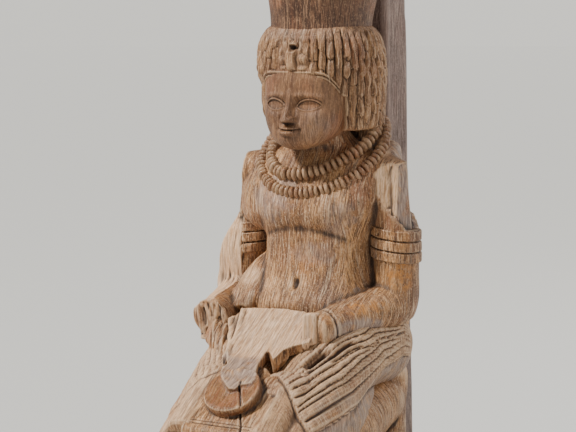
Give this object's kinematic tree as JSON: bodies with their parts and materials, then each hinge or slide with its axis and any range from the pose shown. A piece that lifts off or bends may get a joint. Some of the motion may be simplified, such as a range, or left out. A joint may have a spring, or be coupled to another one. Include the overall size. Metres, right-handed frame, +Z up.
{
  "type": "kneeling pharaoh statue",
  "caption": "Carved wooden statuette of a kneeling king with round curled wig, bead necklaces, armlets and pleated kilt, on a low plinth with back pillar.",
  "frame": {"origin": "centre of the plinth's underside, which is the part's lowest face", "axes": "+Z up, the figure faces -Y, and its left side is at +X"},
  "size_m": [0.102, 0.158, 0.244],
  "materials": {
    "wood": "aged, worn and split carved wood with a dull sheen"
  },
  "bodies": {
    "root": {"statue": "wood"}
  },
  "joints": []
}
